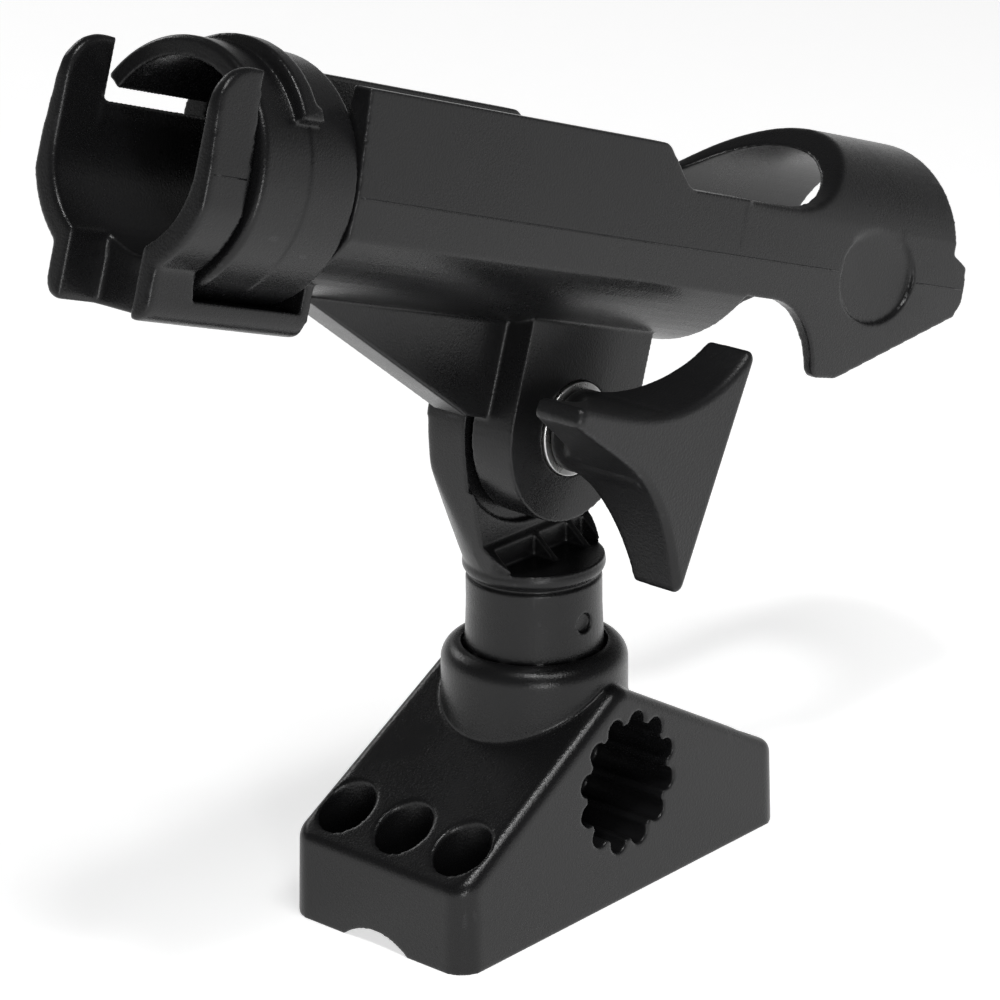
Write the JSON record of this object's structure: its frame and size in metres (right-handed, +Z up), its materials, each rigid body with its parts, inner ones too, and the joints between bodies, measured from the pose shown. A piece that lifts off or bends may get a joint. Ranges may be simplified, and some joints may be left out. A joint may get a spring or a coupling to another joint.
{
  "type": "rod holder",
  "caption": "Fishing rod holder: tilting open trough cradle with a turning lock ring, on a splined post in a screw-down deck mount.",
  "frame": {"origin": "centre of the deck mount's underside and of its screw pattern, in the plane that lies on the deck", "axes": "+Z up out of the deck; +X along the deck mount towards the cradle's tail; -Y towards the wing knob"},
  "size_m": [0.2644, 0.0667, 0.2176],
  "materials": {
    "nylon": "fine moulded grain",
    "knob_nylon": "moulded texture",
    "stainless": "satin"
  },
  "bodies": {
    "base": {"deck_mount": "nylon"},
    "post_body": {"post": "nylon", "pivot_bolt": "stainless", "bolt_washer": "stainless"},
    "cradle_body": {"cradle": "nylon"},
    "ring_body": {"lock_ring": "nylon"},
    "washer_body": {"knob_washer": "stainless"},
    "knob_body": {"wing_knob": "knob_nylon", "knob_insert": "knob_nylon"}
  },
  "joints": [
    {"name": "post_lift", "type": "slide", "parent": "base", "child": "post_body", "axis": [0, 0, 1], "range_m": [0, 0.024]},
    {"name": "tilt", "type": "hinge", "parent": "post_body", "child": "cradle_body", "pos_m": [-0.0017, 0, 0.1107], "axis": [0, 1, 0], "range_deg": [-45, 45]},
    {"name": "ring_turn", "type": "hinge", "parent": "cradle_body", "child": "ring_body", "pos_m": [-0.09909, 0, 0.18883], "axis": [0.9494, 0, -0.314], "range_deg": [0, 90]},
    {"name": "knob_back_off", "type": "slide", "parent": "post_body", "child": "washer_body", "axis": [0, -1, 0], "range_m": [0, 0.00375]},
    {"name": "knob_turn", "type": "hinge", "parent": "washer_body", "child": "knob_body", "pos_m": [-0.0017, -0.03, 0.1107], "axis": [0, -1, 0], "range_deg": [0, 1080]}
  ],
  "couplings": [
    {"joint": "knob_back_off", "follows": "knob_turn", "m_per_rad": 0.00019894}
  ]
}
